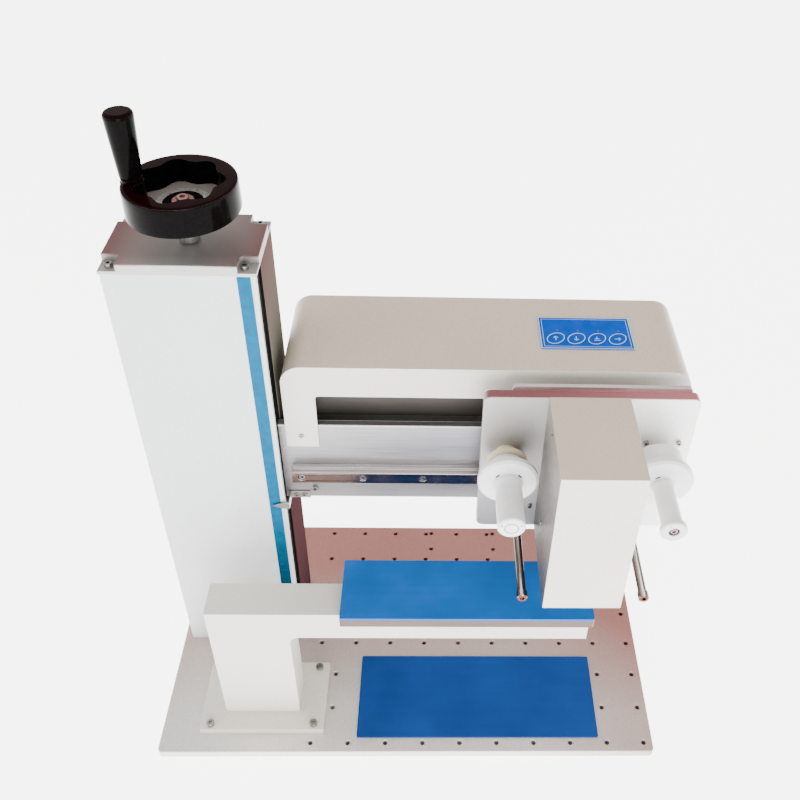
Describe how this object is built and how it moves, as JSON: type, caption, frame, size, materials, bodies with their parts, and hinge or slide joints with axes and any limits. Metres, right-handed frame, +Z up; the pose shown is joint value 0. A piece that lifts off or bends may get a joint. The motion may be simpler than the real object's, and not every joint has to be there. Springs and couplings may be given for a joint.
{
  "type": "digital hot foil press",
  "caption": "Bench hot-foil press: hand-cranked column lifts an arm whose belt-driven head with foil spindles prints over a padded free arm on a tapped base plate.",
  "frame": {"origin": "middle of the base plate's underside", "axes": "+Z up; +X to the user's right, from the column towards the head; +Y away from the user"},
  "size_m": [0.53, 0.3, 0.6602],
  "materials": {
    "satin_paint": "satin powder coat, light grey",
    "warm_paint": "satin powder coat, warm white",
    "anodised_plate": "fine-blasted and clear anodised",
    "milled_aluminium": "milled",
    "blue_silicone": "smooth matt",
    "scale_tape": "printed film",
    "keypad_film": "printed film",
    "key_film": "printed film, embossed",
    "black_bakelite": "polished moulding",
    "rail_steel": "ground",
    "chromed_rod": "polished",
    "zinc_steel": "bright",
    "bearing_steel": "ground",
    "white_acetal": "turned and smooth",
    "cream_nylon": "turned",
    "black_rubber": "matt",
    "motor_case": "black enamel",
    "nut_bronze": "machined",
    "board_laminate": "green solder mask",
    "black_plastic": "moulded"
  },
  "bodies": {
    "base": {"base_plate": "anodised_plate", "base_pad": "blue_silicone", "column_body": "satin_paint", "column_front_panel": "satin_paint", "column_top_cap": "anodised_plate", "column_cap_screws": "zinc_steel", "column_foot_block": "milled_aluminium", "screw_bearings": "bearing_steel", "lift_rails": "rail_steel", "scale_strip": "scale_tape", "slot_dust_lips": "black_rubber", "stand_foot_plate": "warm_paint", "stand_foot_screws": "zinc_steel", "stand_arm": "warm_paint", "arm_pad_plate": "anodised_plate", "arm_pad": "blue_silicone"},
    "handwheel": {"lead_screw": "rail_steel", "handwheel": "black_bakelite", "handwheel_insert": "zinc_steel", "handwheel_screw": "zinc_steel", "grip_stud": "black_bakelite"},
    "crank_grip": {"crank_grip": "black_bakelite"},
    "lift_arm": {"lift_carriage": "milled_aluminium", "lift_blocks": "rail_steel", "lead_nut": "nut_bronze", "arm_plate": "milled_aluminium", "arm_rail": "rail_steel", "arm_screws": "zinc_steel", "scale_pointer": "zinc_steel", "beam_cover": "warm_paint", "keypad_panel": "keypad_film", "rear_sockets": "black_plastic", "control_board": "board_laminate", "traverse_motor": "motor_case", "belt_brackets": "milled_aluminium", "timing_belt": "black_rubber"},
    "key_1": {"key_1": "key_film"},
    "key_2": {"key_2": "key_film"},
    "key_3": {"key_3": "key_film"},
    "key_4": {"key_4": "key_film"},
    "power_switch": {"power_switch": "black_plastic"},
    "drive_pulley": {"drive_pulley": "milled_aluminium"},
    "idler_pulley": {"idler_pulley": "milled_aluminium"},
    "head_carriage": {"head_blocks": "rail_steel", "carriage_plate": "anodised_plate", "carriage_backing_plate": "anodised_plate", "belt_clamp": "milled_aluminium", "carriage_screws": "zinc_steel", "head_cover": "warm_paint", "takeup_motor": "motor_case", "supply_housing": "cream_nylon", "takeup_housing": "white_acetal", "guide_rods": "chromed_rod", "press_rail": "rail_steel", "press_motor": "motor_case"},
    "supply_spindle": {"supply_spindle": "white_acetal"},
    "takeup_spindle": {"takeup_spindle": "white_acetal", "takeup_cap": "white_acetal"},
    "print_head": {"press_slider": "milled_aluminium", "thermal_print_head": "milled_aluminium"}
  },
  "joints": [
    {"name": "handwheel_spin", "type": "hinge", "parent": "base", "child": "handwheel", "pos_m": [-0.1886, 0.0245, 0.586], "axis": [0, 0, -1], "range_deg": [-1981, 13501]},
    {"name": "crank_grip_spin", "type": "hinge", "parent": "handwheel", "child": "crank_grip", "pos_m": [-0.22591, 0.02189, 0.63], "axis": [0, 0, 1], "continuous": true},
    {"name": "arm_lift", "type": "slide", "parent": "base", "child": "lift_arm", "axis": [0, 0, 1], "range_m": [-0.022, 0.15]},
    {"name": "head_traverse", "type": "slide", "parent": "lift_arm", "child": "head_carriage", "axis": [1, 0, 0], "range_m": [-0.185, 0]},
    {"name": "drive_pulley_spin", "type": "hinge", "parent": "lift_arm", "child": "drive_pulley", "pos_m": [-0.075, 0.017, 0.321], "axis": [0, 1, 0], "range_deg": [-1072, 1]},
    {"name": "idler_pulley_spin", "type": "hinge", "parent": "lift_arm", "child": "idler_pulley", "pos_m": [0.235, 0.017, 0.321], "axis": [0, 1, 0], "range_deg": [-1072, 1]},
    {"name": "supply_spin", "type": "hinge", "parent": "head_carriage", "child": "supply_spindle", "pos_m": [0.0897, -0.08, 0.3478], "axis": [0, 1, 0], "continuous": true},
    {"name": "takeup_spin", "type": "hinge", "parent": "head_carriage", "child": "takeup_spindle", "pos_m": [0.231, -0.08, 0.3478], "axis": [0, 1, 0], "continuous": true},
    {"name": "print_head_press", "type": "slide", "parent": "head_carriage", "child": "print_head", "axis": [0, 0, 1], "range_m": [-0.012, 0]},
    {"name": "power_switch_rock", "type": "hinge", "parent": "lift_arm", "child": "power_switch", "pos_m": [-0.06, 0.106, 0.3], "axis": [1, 0, 0], "range_deg": [0, 14]},
    {"name": "key_1_press", "type": "slide", "parent": "lift_arm", "child": "key_1", "axis": [0, 0, -1], "range_m": [0, 0.0005], "stiffness_N_per_m": 1500},
    {"name": "key_2_press", "type": "slide", "parent": "lift_arm", "child": "key_2", "axis": [0, 0, -1], "range_m": [0, 0.0005], "stiffness_N_per_m": 1500},
    {"name": "key_3_press", "type": "slide", "parent": "lift_arm", "child": "key_3", "axis": [0, 0, -1], "range_m": [0, 0.0005], "stiffness_N_per_m": 1500},
    {"name": "key_4_press", "type": "slide", "parent": "lift_arm", "child": "key_4", "axis": [0, 0, -1], "range_m": [0, 0.0005], "stiffness_N_per_m": 1500}
  ],
  "couplings": [
    {"joint": "handwheel_spin", "follows": "arm_lift", "rad_per_m": 1570.8},
    {"joint": "drive_pulley_spin", "follows": "head_traverse", "rad_per_m": 101.01},
    {"joint": "idler_pulley_spin", "follows": "head_traverse", "rad_per_m": 101.01}
  ]
}
